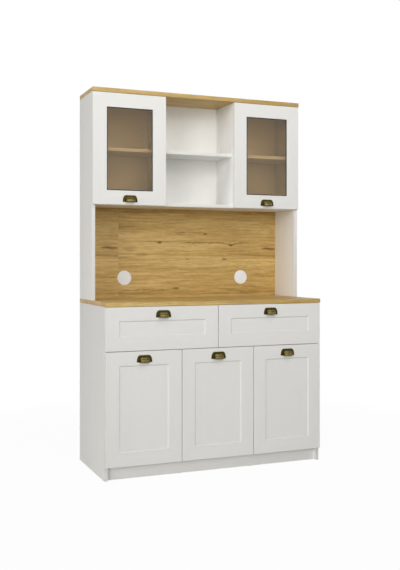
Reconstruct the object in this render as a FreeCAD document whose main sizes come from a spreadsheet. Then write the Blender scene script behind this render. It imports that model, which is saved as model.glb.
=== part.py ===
import FreeCAD, Part
import math
import operator
import os
import types

import Sketcher

# Coffee bar cabinet. The base holds two drawers over three doors, and its worktop carries a hutch
# with an oak splashback, an open middle bay and two glass doors.
# Millimetres, +Z up, front towards -Y, origin on the floor at the middle of the overall box.

driving_sizes = {
    # overall
    "width": 1200,
    "height": 1976,
    "worktop_height": 877,
    "niche_share": 0.45,
    "drawer_zone": 220,
    "base_depth": 490,
    "hutch_depth": 252,
    "hutch_bay": 400,
    # boards
    "board": 18,
    "worktop_thick": 22,
    "worktop_overhang": 2,
    "hutch_top_thick": 22,
    "hutch_top_overhang": 2,
    "edge_radius": 2,
    "splashback_thick": 18,
    "back_thick": 3,
    "back_inset": 18,
    "back_groove": 6,
    "groove_play": 0.2,
    # plinth and glides
    "plinth_height": 68,
    "plinth_setback": 20,
    "glide_height": 2,
    "glide_radius": 8,
    "glide_setback": 40,
    # shelves and their pins
    "base_shelf_share": 0.49,
    "base_shelf_setback": 25,
    "hutch_shelf_share": 0.47,
    "hutch_shelf_setback": 15,
    "shelf_play": 0.5,
    "pin_radius": 2.5,
    "pin_length": 16,
    "pin_seat": 8,
    "pin_play": 0.1,
    "pin_setback": 40,
    # framed fronts
    "front_thick": 16,
    "front_gap": 2,
    "reveal": 1.5,
    "rail_width": 74,
    "bevel_width": 5,
    "bevel_drop": 4.5,
    "arris": 1,
    "panel_recess": 5,
    "panel_groove": 8,
    "panel_thick": 5.5,
    # glass and its gasket
    "glass_recess": 3,
    "glass_thick": 4,
    "gasket_thick": 1,
    "gasket_lip": 4.5,
    "gasket_sink": 0.8,
    # concealed hinges
    "bore_radius": 17.5,
    "bore_depth": 12,
    "bore_play": 0.3,
    "bore_inset": 22.5,
    "hinge_from_end": 100,
    "cup_recess_width": 18,
    "cup_recess_height": 22,
    "cup_recess_depth": 8,
    "wing_thick": 1.7,
    "wing_span": 62,
    "wing_width": 22,
    "hinge_plate_length": 52,
    "hinge_plate_height": 46,
    "hinge_plate_thick": 2.5,
    "hinge_plate_setback": 12,
    "hinge_arm_length": 64,
    "hinge_arm_width": 16,
    "hinge_arm_rise": 15,
    "hinge_arm_gauge": 1.5,
    # drawers
    "drawer_lift": 16,
    "box_height": 140,
    "box_depth": 430,
    "box_board": 12,
    "box_bottom_thick": 3,
    "box_bottom_lift": 10,
    "box_groove": 6,
    "runner_space": 13,
    "runner_length": 400,
    "runner_setback": 3,
    "runner_rise": 45,
    "runner_height": 35,
    "runner_depth": 10,
    "runner_lip": 4,
    "runner_gauge": 1.2,
    "runner_gap": 0.3,
    "slide_depth": 9,
    # cup pulls
    "pull_width": 80,
    "pull_height": 36,
    "shoulder_width": 17,
    "shoulder_height": 30,
    "pull_plate": 1.5,
    "hood_width": 56,
    "hood_height": 27,
    "hood_depth": 23,
    "hood_radius": 18,
    "hood_wall": 1.6,
    "glass_pull_inset": 32.5,
    # cable outlets in the splashback
    "outlet_offset": 354,
    "outlet_rise": 110.5,
    "outlet_radius": 38,
    "outlet_rim": 2,
    "outlet_rim_thick": 2,
    "sleeve_play": 0.3,
    "sleeve_wall": 2.2,
    "cap_play": 0.3,
    "cap_thick": 2.5,
    "cap_wall": 1.5,
    "cap_skirt": 10,
    # how far a cutting shape passes the face that it cuts
    "overrun": 5,
}

doc = FreeCAD.newDocument("CoffeeBarCabinet")
sheet = doc.addObject("Spreadsheet::Sheet", "Sizes")
for row, (alias, number) in enumerate(driving_sizes.items(), start=1):
    sheet.set(f"A{row}", alias)
    sheet.set(f"B{row}", str(number))
    sheet.setAlias(f"B{row}", alias)
doc.recompute()


class Measure:
    # A number together with the sheet formula that gives it.
    signs = {"+": operator.add, "-": operator.sub, "*": operator.mul, "/": operator.truediv}

    def __init__(self, value, formula):
        self.value = value
        self.formula = formula

    def joined(self, sign, left, right):
        left, right = measure(left), measure(right)
        return Measure(self.signs[sign](left.value, right.value), f"({left.formula} {sign} {right.formula})")

    def __add__(self, other):
        return self.joined("+", self, other)

    def __radd__(self, other):
        return self.joined("+", other, self)

    def __sub__(self, other):
        return self.joined("-", self, other)

    def __rsub__(self, other):
        return self.joined("-", other, self)

    def __mul__(self, other):
        return self.joined("*", self, other)

    def __rmul__(self, other):
        return self.joined("*", other, self)

    def __truediv__(self, other):
        return self.joined("/", self, other)

    def __neg__(self):
        return self.joined("-", 0, self)


def measure(number):
    return number if isinstance(number, Measure) else Measure(number, str(number))


size = types.SimpleNamespace(
    **{alias: Measure(float(sheet.get(alias)), f"Sizes.{alias}") for alias in driving_sizes}
)
zero = measure(0)
sides = {"left": -1, "right": 1}
nodes = []

# Planes that several pieces share. Depths are counted from the rear face of the cabinet.
half_width = size.width / 2
inner_face = half_width - size.board
base_top = size.worktop_height - size.worktop_thick
drawer_line = base_top - size.drawer_zone
niche_top = size.worktop_height + size.niche_share * (size.height - size.worktop_height)
hutch_ceiling = size.height - size.hutch_top_thick
back_front = size.back_inset + size.back_thick
base_front = size.base_depth + size.front_gap + size.front_thick
hutch_front = size.hutch_depth + size.front_gap + size.front_thick
pull_reach = size.pull_plate + size.hood_depth
rear = (base_front + pull_reach) / 2


def bind(thing, **sizes):
    for prop, amount in sizes.items():
        thing.setExpression(prop, measure(amount).formula)


def place(thing, x, y, z, turn=None):
    if turn:
        thing.Placement = FreeCAD.Placement(FreeCAD.Vector(), turn)
    for axis, amount in zip("xyz", (x, y, z)):
        thing.setExpression(f"Placement.Base.{axis}", measure(amount).formula)
    return thing


def node(label, thing):
    thing.Label = label
    nodes.append(thing)
    return thing


def span(side, near, far):
    # A stretch of X on one side of the middle, lowest end first.
    return (near, far) if side > 0 else (-far, -near)


def cuboid(name, x, y, z):
    box = doc.addObject("Part::Box", name)
    bind(box, Length=x[1] - x[0], Width=y[1] - y[0], Height=z[1] - z[0])
    return place(box, x[0], y[0], z[0])


def block(name, x, depth, z):
    # A board between two X planes, two depths from the rear and two heights.
    return cuboid(name, x, (rear - depth[1], rear - depth[0]), z)


def rod(name, radius, length, turn, x, y, z):
    cylinder = doc.addObject("Part::Cylinder", name)
    bind(cylinder, Radius=radius, Height=length)
    return place(cylinder, x, y, z, turn)


def peg(name, radius, length, turn, x, y, z):
    # A small eight-sided peg; the radius is the distance from its axis to a flat.
    prism = doc.addObject("Part::Prism", name)
    prism.Polygon = peg_flats
    bind(prism, Circumradius=corner_share * radius, Height=length)
    return place(prism, x, y, z, turn)


def group(name, pieces):
    compound = doc.addObject("Part::Compound", name)
    compound.Links = pieces
    return compound


def cut(name, base, cutters):
    result = doc.addObject("Part::Cut", name)
    result.Base = base
    result.Tool = group(name + "_cutters", cutters)
    return result


def mirrored(source, normal):
    image = doc.addObject("Part::Mirroring", source.Name + "_image")
    image.Source = source
    image.Normal = normal
    return image


def copy_at(name, source, x, y, z):
    return place(group(name, [source]), x, y, z)


across = FreeCAD.Vector(1, 0, 0)
upward = FreeCAD.Vector(0, 0, 1)
along_x = FreeCAD.Rotation(FreeCAD.Vector(0, 1, 0), 90)
along_y = FreeCAD.Rotation(across, -90)
peg_flats = 8
corner_share = 1 / math.cos(math.pi / peg_flats)
flat_side = FreeCAD.Rotation(upward, 180 / peg_flats)
flat_up = along_x * flat_side
upright_front = FreeCAD.Rotation(FreeCAD.Vector(1, 1, 1), -120)
diagonal_share = math.sqrt(1 / 2)


def hold(sketch, geometry, end, point, coordinates=(0, 1)):
    # Ties one end of a line or arc to its place in the sketch.
    for axis in coordinates:
        amount = measure(point[axis])
        if amount is zero:
            sketch.addConstraint(Sketcher.Constraint("PointOnObject", geometry, end, (-2, -1)[axis]))
            continue
        kind = ("DistanceX", "DistanceY")[axis]
        index = sketch.addConstraint(Sketcher.Constraint(kind, -1, 1, geometry, end, amount.value))
        sketch.setExpression(f"Constraints[{index}]", amount.formula)


def outline(sketch, points, centres=None):
    # A closed outline; centres gives the middle of the quarter arc that starts at a point's number.
    centres = centres or {}
    runs = []
    for number, start in enumerate(points):
        end = points[(number + 1) % len(points)]
        first, last = ([measure(c).value for c in p] for p in (start, end))
        if number not in centres:
            line = Part.LineSegment(FreeCAD.Vector(*first, 0), FreeCAD.Vector(*last, 0))
            runs.append((sketch.addGeometry(line), 1, 2))
            continue
        middle = [measure(c).value for c in centres[number]]
        angles = [math.atan2(p[1] - middle[1], p[0] - middle[0]) for p in (first, last)]
        turns_left = (angles[1] - angles[0]) % (2 * math.pi) < math.pi
        circle = Part.Circle(FreeCAD.Vector(*middle, 0), upward, math.dist(first, middle))
        arc = Part.ArcOfCircle(circle, *(angles if turns_left else angles[::-1]))
        runs.append((sketch.addGeometry(arc), 1, 2) if turns_left else (sketch.addGeometry(arc), 2, 1))
    for number, (geometry, start, end) in enumerate(runs):
        following = runs[(number + 1) % len(runs)]
        sketch.addConstraint(Sketcher.Constraint("Coincident", geometry, end, following[0], following[1]))
        before = (number - 1) % len(runs)
        free = (0, 1)
        if before in centres:
            pairs = zip(points[number], centres[before])
            level = [measure(a).formula == measure(b).formula for a, b in pairs]
            free = [level.index(True)]
        hold(sketch, geometry, start, points[number], free)
        if number in centres:
            hold(sketch, geometry, 3, centres[number])


def faceted(points, centres):
    # The outline with a corner halfway along each quarter arc, in place of the curve.
    corners = []
    for number, point in enumerate(points):
        corners.append(point)
        if number in centres:
            following = points[(number + 1) % len(points)]
            trio = zip(point, following, centres[number])
            corners.append([middle + diagonal_share * (a + b - 2 * middle) for a, b, middle in trio])
    return corners


def sketch_on(body, plane, name):
    sketch = body.newObject("Sketcher::SketchObject", name)
    support = next(feature for feature in body.Origin.OriginFeatures if feature.Role == plane)
    sketch.AttachmentSupport = [(support, "")]
    sketch.MapMode = "FlatFace"
    return sketch


def profile(body, plane, name, points, centres=None):
    sketch = sketch_on(body, plane, name)
    outline(sketch, points, centres)
    return sketch


def feature(body, kind, name, sketch, **settings):
    made = body.newObject("PartDesign::" + kind, name)
    made.Profile = sketch
    for prop, setting in settings.items():
        setattr(made, prop, setting)
    return made


def revolution(name, points):
    # A turned piece: the points are radius and distance along Y, which is the axis.
    body = doc.addObject("PartDesign::Body", name)
    section = profile(body, "XY_Plane", name + "_section", points)
    feature(body, "Revolution", name + "_turned", section, ReferenceAxis=(section, ["V_Axis"]), Angle=360)
    return body


# Boards of the base: two sides on glides, a bottom, two dividers, a drawer deck and its divider.
divider_place = size.width / 6
half_board = size.board / 2
bottom_top = size.plinth_height + size.board
deck_low = drawer_line - half_board
deck_top = drawer_line + half_board
base_inside = (back_front, size.base_depth)
hutch_inside = (back_front, size.hutch_depth)
hutch_floor = niche_top + size.board
hutch_divider = size.hutch_bay / 2

base_sides = {
    side: block(f"base_{side}_panel", span(sign, inner_face, half_width), (zero, size.base_depth),
                (size.glide_height, base_top))
    for side, sign in sides.items()
}
base_dividers = {
    side: block(f"base_{side}_divider", span(sign, divider_place - half_board, divider_place + half_board),
                base_inside, (bottom_top, deck_low))
    for side, sign in sides.items()
}
hutch_sides = {
    side: block(f"hutch_{side}_panel", span(sign, inner_face, half_width), (zero, size.hutch_depth),
                (size.worktop_height, hutch_ceiling))
    for side, sign in sides.items()
}
hutch_dividers = {
    side: block(f"hutch_{side}_board", span(sign, hutch_divider, hutch_divider + size.board),
                hutch_inside, (hutch_floor, hutch_ceiling))
    for side, sign in sides.items()
}


def inside(label, depth, z):
    # A board that runs from side to side of the cabinet.
    return node(label, block(label, (-inner_face, inner_face), depth, z))


inside("base_bottom", base_inside, (size.plinth_height, bottom_top))
inside("drawer_deck", base_inside, (deck_low, deck_top))
node("drawer_divider", block("drawer_divider", (-half_board, half_board), base_inside, (deck_top, base_top)))
plinth_face = size.base_depth - size.plinth_setback
inside("plinth", (plinth_face - size.board, plinth_face), (size.glide_height, size.plinth_height))
inside("hutch_bottom", hutch_inside, (niche_top, hutch_floor))


def edged_board(label, reach, low, thick):
    # A board over the whole width, its front edge rounded above and below.
    body = doc.addObject("PartDesign::Body", label)
    front, turn = -reach, size.edge_radius - reach
    under, over = size.edge_radius, thick - size.edge_radius
    section = profile(body, "YZ_Plane", label + "_section", [
        (zero, zero),
        (zero, thick),
        (turn, thick),
        (front, over),
        (front, under),
        (turn, zero),
    ], {2: (turn, over), 4: (turn, under)})
    bind(feature(body, "Pad", label + "_length", section, Midplane=True), Length=size.width)
    return node(label, place(body, zero, rear, low))


edged_board("worktop", base_front + size.worktop_overhang, base_top, size.worktop_thick)
edged_board("hutch_top", hutch_front + size.hutch_top_overhang, hutch_ceiling, size.hutch_top_thick)


def back_panel(label, low, high):
    # A thin back that slides into grooves of the two sides; returns the space that it needs.
    reach = inner_face + size.back_groove
    slot = block(label + "_slot", (-reach, reach),
                 (size.back_inset - size.groove_play, back_front), (low, high))
    edge = reach - size.groove_play
    node(label, block(label, (-edge, edge), (size.back_inset, back_front), (low, high)))
    return slot


base_slot = back_panel("base_back", size.plinth_height, base_top)
hutch_slot = back_panel("hutch_back", niche_top, hutch_ceiling)

# Adjustable shelves lie on four pins each, which plug into blind holes of the boards beside them.
pins = []
pin_holes = {board.Name: [] for boards in (base_sides, base_dividers, hutch_sides, hutch_dividers)
             for board in boards.values()}


def shelf(name, bay, supports, depth, height):
    low, high = bay
    pin_level = height - size.pin_radius
    for support, wall, out in zip(supports, bay, (1, -1)):
        hole_start = wall - size.pin_seat - size.pin_play if out > 0 else wall
        pin_start = wall - size.pin_seat if out > 0 else wall + size.pin_seat - size.pin_length
        for reach in (depth[0] + size.pin_setback, depth[1] - size.pin_setback):
            spot = (rear - reach, pin_level)
            number = len(pins)
            pins.append(peg(f"pin_{number}", size.pin_radius, size.pin_length, flat_up, pin_start, *spot))
            hole = peg(f"pin_hole_{number}", size.pin_radius + size.pin_play,
                       size.pin_seat + size.pin_play, flat_up, hole_start, *spot)
            pin_holes[support.Name].append(hole)
    edges = (low + size.shelf_play, high - size.shelf_play)
    return block(name, edges, depth, (height, height + size.board))


def shelves(label, walls, supports, depth, height):
    bays = list(zip(walls[0::2], walls[1::2]))
    pairs = list(zip(supports[:-1], supports[1:]))
    names = [f"{label}_{place_name}" for place_name in ("left", "middle", "right")]
    node(label, group(label, [shelf(name, bay, pair, depth, height)
                              for name, bay, pair in zip(names, bays, pairs)]))


inner_divider = divider_place - half_board
outer_divider = divider_place + half_board
shelves("base_shelves",
        [-inner_face, -outer_divider, -inner_divider, inner_divider, outer_divider, inner_face],
        [base_sides["left"], base_dividers["left"], base_dividers["right"], base_sides["right"]],
        (back_front, size.base_depth - size.base_shelf_setback),
        bottom_top + size.base_shelf_share * (deck_low - bottom_top))
outer_hutch_divider = hutch_divider + size.board
shelves("hutch_shelves",
        [-inner_face, -outer_hutch_divider, -hutch_divider, hutch_divider, outer_hutch_divider, inner_face],
        [hutch_sides["left"], hutch_dividers["left"], hutch_dividers["right"], hutch_sides["right"]],
        (back_front, size.hutch_depth - size.hutch_shelf_setback),
        hutch_floor + size.hutch_shelf_share * (hutch_ceiling - hutch_floor))
node("shelf_pins", group("shelf_pins", pins))

for side in sides:
    for label, board, slot in ((f"base_{side}_side", base_sides[side], base_slot),
                               (f"hutch_{side}_side", hutch_sides[side], hutch_slot)):
        node(label, cut(label, board, [slot] + pin_holes[board.Name]))
    board = hutch_dividers[side]
    node(f"hutch_{side}_divider", cut(f"hutch_{side}_divider", board, pin_holes[board.Name]))
node("base_dividers", group("base_dividers", [
    cut(f"base_{side}_divider_bored", board, pin_holes[board.Name]) for side, board in base_dividers.items()
]))

glide_spots = [(sign * (half_width - half_board), depth)
               for sign in sides.values()
               for depth in (size.glide_setback, size.base_depth - size.glide_setback)]
glide_spots += [(sign * divider_place, plinth_face - half_board) for sign in sides.values()]
node("foot_glides", group("foot_glides", [
    peg(f"glide_{number}", size.glide_radius, size.glide_height, flat_side, x, rear - depth, zero)
    for number, (x, depth) in enumerate(glide_spots)
]))

# Splashback with a cable outlet on each side: a flanged sleeve in the board, and a cap that pulls out.
outlet_height = size.worktop_height + size.outlet_rise
splashback = block("splashback_board", (-inner_face, inner_face), (zero, size.splashback_thick),
                   (size.worktop_height, niche_top))
outlets = [
    rod(f"outlet_{side}", size.outlet_radius, size.splashback_thick + 2 * size.overrun, along_y,
        sign * size.outlet_offset, rear - size.splashback_thick - size.overrun, outlet_height)
    for side, sign in sides.items()
]
node("splashback", cut("splashback", splashback, outlets))

sleeve_outer = size.outlet_radius - size.sleeve_play
sleeve_inner = sleeve_outer - size.sleeve_wall
rim_outer = size.outlet_radius + size.outlet_rim
sleeve = revolution("cable_sleeve", [
    (sleeve_inner, -size.outlet_rim_thick),
    (rim_outer, -size.outlet_rim_thick),
    (rim_outer, zero),
    (sleeve_outer, zero),
    (sleeve_outer, size.splashback_thick),
    (sleeve_inner, size.splashback_thick),
])
cap_outer = sleeve_inner - size.cap_play
cap_blank = rod("cap_blank", cap_outer, size.cap_thick + size.cap_skirt, along_y,
                zero, -size.outlet_rim_thick, zero)
cap = cut("cable_cap", cap_blank, [
    peg("cap_hollow", (cap_outer - size.cap_wall) / corner_share, size.cap_skirt + size.overrun, along_y,
        zero, size.cap_thick - size.outlet_rim_thick, zero),
])


def at_outlet(name, source, sign):
    return copy_at(name, source, sign * size.outlet_offset, rear - size.splashback_thick, outlet_height)


node("cable_sleeves", group("cable_sleeves", [at_outlet(f"sleeve_{side}", sleeve, sign)
                                              for side, sign in sides.items()]))
for side, sign in sides.items():
    node(f"{side}_cable_cap", at_outlet(f"{side}_cable_cap", cap, sign))



def member_section(slope, drop, groove_front, sheet):
    # The section of a front's stiles and rails, across X from the outer edge and back along Y from the
    # face: a flat face, a slope at the inner edge, and a groove that holds the edge of a sheet.
    groove_floor = size.rail_width - size.panel_groove
    groove_back = groove_front + sheet + size.groove_play
    return [
        (zero, size.arris),
        (size.arris, zero),
        (size.rail_width - slope, zero),
        (size.rail_width, drop),
        (size.rail_width, groove_front),
        (groove_floor, groove_front),
        (groove_floor, groove_back),
        (size.rail_width, groove_back),
        (size.rail_width, size.front_thick),
        (zero, size.front_thick),
    ]


# Panelled fronts have a bevel down to the panel; glass doors are only eased round the glass.
pane_front = size.glass_recess + size.gasket_thick
panelled = member_section(size.bevel_width, size.bevel_drop, size.panel_recess, size.panel_thick)
glazed = member_section(size.arris, size.arris, size.glass_recess, size.gasket_thick + size.glass_thick)


def member(name, length, section):
    # One stile or rail along Z, mitred at both ends from the outer corners inwards.
    body = doc.addObject("PartDesign::Body", name)
    section = profile(body, "XY_Plane", name + "_section", section)
    pad = feature(body, "Pad", name + "_length", section, Midplane=True)
    bind(pad, Length=length)
    mitres = sketch_on(body, "XZ_Plane", name + "_mitres")
    past = size.rail_width + size.overrun
    for end in sides.values():
        tip = end * (length / 2 + size.overrun)
        foot = end * (length / 2 - past)
        corners = [(-size.overrun, tip), (past, foot), (past, tip)]
        outline(mitres, corners)
    pocket = feature(body, "Pocket", name + "_mitred", mitres, Type="ThroughAll", Midplane=True)
    body.Tip = pocket
    return body


def frame(name, wide, high, section):
    # Two stiles and two rails round the middle of a front whose face is the plane Y = 0.
    stile = place(member(name + "_stile", high, section), -wide / 2, zero, zero)
    rail = place(member(name + "_rail", wide, section), zero, zero, high / 2, along_x)
    return group(name, [stile, mirrored(stile, across), rail, mirrored(rail, upward)])


# A hinge cup: a round body in its bore, two screw wings on the door's back, and a recess for the arm.
cup_depth = size.bore_depth - size.bore_play
wing_half, wing_reach = size.wing_width / 2, size.wing_span / 2
recess_half, recess_reach = size.cup_recess_width / 2, size.cup_recess_height / 2
cup_blank = doc.addObject("Part::Fuse", "cup_blank")
cup_blank.Base = rod("cup_body", size.bore_radius - size.bore_play, cup_depth + size.wing_thick, along_y,
                     zero, -cup_depth, zero)
cup_blank.Tool = cuboid("cup_wings", (-wing_half, wing_half), (zero, size.wing_thick),
                        (-wing_reach, wing_reach))
winged_cup = cut("winged_cup", cup_blank, [
    cuboid("cup_recess", (-recess_half, recess_half),
           (size.wing_thick - size.cup_recess_depth, size.wing_thick + size.overrun),
           (-recess_reach, recess_reach)),
])


def hinge_heights(high):
    return [end * (high / 2 - size.hinge_from_end) for end in sides.values()]


def hinged_frame(name, wide, high, section):
    # A frame bored for two hinge cups in its left stile, and the cups that sit there.
    spot_x = size.bore_inset - wide / 2
    bores = [rod(f"{name}_bore_{number}", size.bore_radius, size.bore_depth + size.overrun, along_y,
                 spot_x, size.front_thick - size.bore_depth, level)
             for number, level in enumerate(hinge_heights(high))]
    cups = [copy_at(f"{name}_cup_{number}", winged_cup, spot_x, size.front_thick, level)
            for number, level in enumerate(hinge_heights(high))]
    blank = frame(name + "_blank", wide, high, section)
    return cut(name, blank, bores), group(name + "_cups", cups)


def panel(label, depths, x, plane, z, wide, high, edge):
    # A flat sheet between two depths behind a front's face, its edge so far in from the front's edge.
    half_x, half_z = wide / 2 - edge, high / 2 - edge
    return block(label, (x - half_x, x + half_x), (plane - depths[1], plane - depths[0]),
                 (z - half_z, z + half_z))


# Cup pull: a plate with rounded shoulders, and a hood over it that is open below. The hood is bent in
# section and rounded at both ends in plan, and its hollow follows in flat facets.
pull_half_x, pull_half_z = size.pull_width / 2, size.pull_height / 2
pull_face = -size.pull_plate
hood_straight = size.hood_width / 2 - size.hood_depth
hood_crown = size.hood_height - pull_half_z
bend = (pull_face + size.hood_radius - size.hood_depth, hood_crown - size.hood_radius)


def pull_back():
    # The top is level between two shoulders, and each shoulder is a quarter of an upright ellipse.
    shoulder_x, shoulder_z = pull_half_x - size.shoulder_width, pull_half_z - size.shoulder_height
    rim = doc.addObject("Part::Ellipse", "pull_rim")
    bind(rim, MajorRadius=size.shoulder_height, MinorRadius=size.shoulder_width)
    place(rim, shoulder_x, zero, shoulder_z, upright_front)
    shoulder = doc.addObject("Part::Extrusion", "pull_shoulder")
    shoulder.Base = rim
    shoulder.DirMode = "Custom"
    shoulder.Dir = FreeCAD.Vector(0, -1, 0)
    shoulder.Solid = True
    bind(shoulder, LengthFwd=size.pull_plate)
    depth = (pull_face, zero)
    blank = doc.addObject("Part::MultiFuse", "pull_plate_blank")
    blank.Shapes = [
        shoulder,
        mirrored(shoulder, across),
        cuboid("pull_middle", (-shoulder_x, shoulder_x), depth, (-pull_half_z, pull_half_z)),
        cuboid("pull_foot", (-pull_half_x, pull_half_x), depth, (-pull_half_z, shoulder_z)),
    ]
    plate = doc.addObject("Part::Common", "pull_back")
    plate.Base = blank
    plate.Tool = cuboid("pull_bounds", (-pull_half_x, pull_half_x), depth, (-pull_half_z, pull_half_z))
    return plate


def bent(sketch, points, centres, smooth):
    if smooth:
        outline(sketch, points, centres)
    else:
        outline(sketch, faceted(points, centres))


def hood_form(name, inset, low, smooth):
    # The hood's form at an inset from its skin: the bent section run across, then its corners rounded.
    body = doc.addObject("PartDesign::Body", name)
    front, crown = pull_face - size.hood_depth + inset, hood_crown - inset
    section = [(pull_face, low), (front, low), (front, bend[1]), (bend[0], crown), (pull_face, crown)]
    run = sketch_on(body, "YZ_Plane", name + "_section")
    bent(run, section, {2: bend}, smooth)
    tip = hood_straight + size.hood_depth - inset
    bind(feature(body, "Pad", name + "_run", run, Midplane=True), Length=2 * tip)
    plan = sketch_on(body, "XY_Plane", name + "_corners")
    ahead = front - size.overrun
    for end in sides.values():
        start, past = end * hood_straight, end * (tip + size.overrun)
        corner = [(start, front), (end * tip, pull_face), (past, pull_face), (past, ahead), (start, ahead)]
        bent(plan, corner, {0: (start, pull_face)}, smooth)
    body.Tip = feature(body, "Pocket", name + "_ends", plan, Type="ThroughAll", Midplane=True)
    return body


pull_blank = doc.addObject("Part::Fuse", "pull_blank")
pull_blank.Base = pull_back()
pull_blank.Tool = hood_form("hood_skin", zero, -pull_half_z, True)
pull_blank.Refine = True
hood_hollow = hood_form("hood_hollow", size.hood_wall, -pull_half_z - size.overrun, False)
pull = cut("pull", pull_blank, [hood_hollow])
pull_inset = size.rail_width / 2

# Doors hang on the left or the right, and hinge arms answer their cups on the cabinet's boards.
arm_body = doc.addObject("PartDesign::Body", "hinge_arm")
arm_half, plate_half = size.hinge_arm_width / 2, size.hinge_plate_height / 2
arm_inner = arm_half - size.hinge_arm_gauge
arm_sketch = profile(arm_body, "XZ_Plane", "hinge_arm_section", [
    (size.hinge_plate_thick, -arm_half),
    (size.hinge_arm_rise, -arm_half),
    (size.hinge_arm_rise, arm_half),
    (size.hinge_plate_thick, arm_half),
    (size.hinge_plate_thick, arm_inner),
    (size.hinge_arm_rise - size.hinge_arm_gauge, arm_inner),
    (size.hinge_arm_rise - size.hinge_arm_gauge, -arm_inner),
    (size.hinge_plate_thick, -arm_inner),
])
bind(feature(arm_body, "Pad", "hinge_arm_channel", arm_sketch, Reversed=True), Length=size.hinge_arm_length)
plate_sketch = profile(arm_body, "XZ_Plane", "hinge_plate_section", [
    (zero, -plate_half),
    (size.hinge_plate_thick, -plate_half),
    (size.hinge_plate_thick, plate_half),
    (zero, plate_half),
])
bind(plate_sketch, **{"AttachmentOffset.Base.z": -size.hinge_plate_setback})
bind(feature(arm_body, "Pad", "hinge_plate", plate_sketch, Reversed=True), Length=size.hinge_plate_length)
hinge_arms = []
arm_image = mirrored(arm_body, across)


def hang(label, shapes, x, plane, z, hand, wall, high):
    # Places a hinged frame, its cups and the arms beside them; hand is -1 for hinges on the left.
    bored, cups = shapes
    if hand > 0:
        bored, cups = mirrored(bored, across), mirrored(cups, across)
    node(f"{label}_frame", copy_at(f"{label}_frame", bored, x, rear - plane, z))
    node(f"{label}_hinge_cups", copy_at(f"{label}_hinge_cups", cups, x, rear - plane, z))
    arm = arm_image if hand > 0 else arm_body
    carcass_front = rear - plane + size.front_thick + size.front_gap
    for number, level in enumerate(hinge_heights(high)):
        hinge_arms.append(copy_at(f"{label}_arm_{number}", arm, wall, carcass_front, z + level))


def pull_at(label, x, plane, z):
    node(f"{label}_pull", copy_at(f"{label}_pull", pull, x, rear - plane, z))


panel_edge = size.rail_width - size.panel_groove + size.groove_play
panel_depths = (size.panel_recess, size.panel_recess + size.panel_thick)

door_wide = size.width / 3 - 2 * size.reveal
door_low, door_high = size.plinth_height + size.reveal, drawer_line - size.reveal
door_tall, door_middle = door_high - door_low, (door_high + door_low) / 2
door_shapes = hinged_frame("door_shape", door_wide, door_tall, panelled)
doors = {
    "left_door": (-size.width / 3, -1, -inner_face),
    "middle_door": (zero, -1, -inner_divider),
    "right_door": (size.width / 3, 1, inner_face),
}
for label, (x, hand, wall) in doors.items():
    hang(label, door_shapes, x, base_front, door_middle, hand, wall, door_tall)
    node(f"{label}_panel", panel(f"{label}_panel", panel_depths, x, base_front, door_middle,
                                 door_wide, door_tall, panel_edge))
    pull_at(label, x, base_front, door_high - pull_inset)

# Glass doors: a pane near the front of the frame, sealed by a gasket that seats in the groove and shows
# as a bead round the glass.
glass_inner, glass_outer = hutch_divider, half_width - size.reveal
glass_wide, glass_middle_x = glass_outer - glass_inner, (glass_outer + glass_inner) / 2
glass_low, glass_high = niche_top + size.reveal, hutch_ceiling - size.reveal
glass_tall, glass_middle_z = glass_high - glass_low, (glass_high + glass_low) / 2
glass_shapes = hinged_frame("glass_door_shape", glass_wide, glass_tall, glazed)
for side, sign in sides.items():
    label = f"{side}_glass_door"
    x = sign * glass_middle_x
    hang(label, glass_shapes, x, hutch_front, glass_middle_z, sign, sign * inner_face, glass_tall)
    where = (x, hutch_front, glass_middle_z, glass_wide, glass_tall)
    pane_depths = (pane_front, pane_front + size.glass_thick)
    node(f"{label}_pane", panel(f"{label}_pane", pane_depths, *where, panel_edge))
    blank = doc.addObject("Part::Fuse", f"{label}_gasket_blank")
    blank.Base = panel(f"{label}_gasket_seat", (size.glass_recess, pane_front), *where, panel_edge)
    blank.Tool = panel(f"{label}_gasket_bead", (size.gasket_sink, pane_front), *where, size.rail_width)
    through = (size.gasket_sink - size.overrun, pane_front + size.overrun)
    light = panel(f"{label}_light", through, *where, size.rail_width + size.gasket_lip)
    node(f"{label}_gasket", cut(f"{label}_gasket", blank, [light]))
    pull_at(label, x, hutch_front, glass_low + size.glass_pull_inset)
node("hinge_arms", group("hinge_arms", hinge_arms))

# Drawers: a framed front on a box with a grooved-in bottom, which rides on two side runners.
bay_inner = half_board
drawer_low, drawer_high = drawer_line + size.reveal, base_top - size.reveal
drawer_tall, drawer_middle = drawer_high - drawer_low, (drawer_high + drawer_low) / 2
drawer_wide = half_width - 2 * size.reveal
drawer_shape = frame("drawer_shape", drawer_wide, drawer_tall, panelled)
box_low = deck_top + size.drawer_lift
box_top = box_low + size.box_height
box_front = size.base_depth + size.front_gap
box_back = box_front - size.box_depth
runner_level = box_low + size.runner_rise
runner_front = rear - size.base_depth + size.runner_setback


def channel(name, points):
    body = doc.addObject("PartDesign::Body", name)
    pad = feature(body, "Pad", name + "_length", profile(body, "XZ_Plane", name + "_section", points),
                  Reversed=True)
    bind(pad, Length=size.runner_length)
    return body


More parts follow.
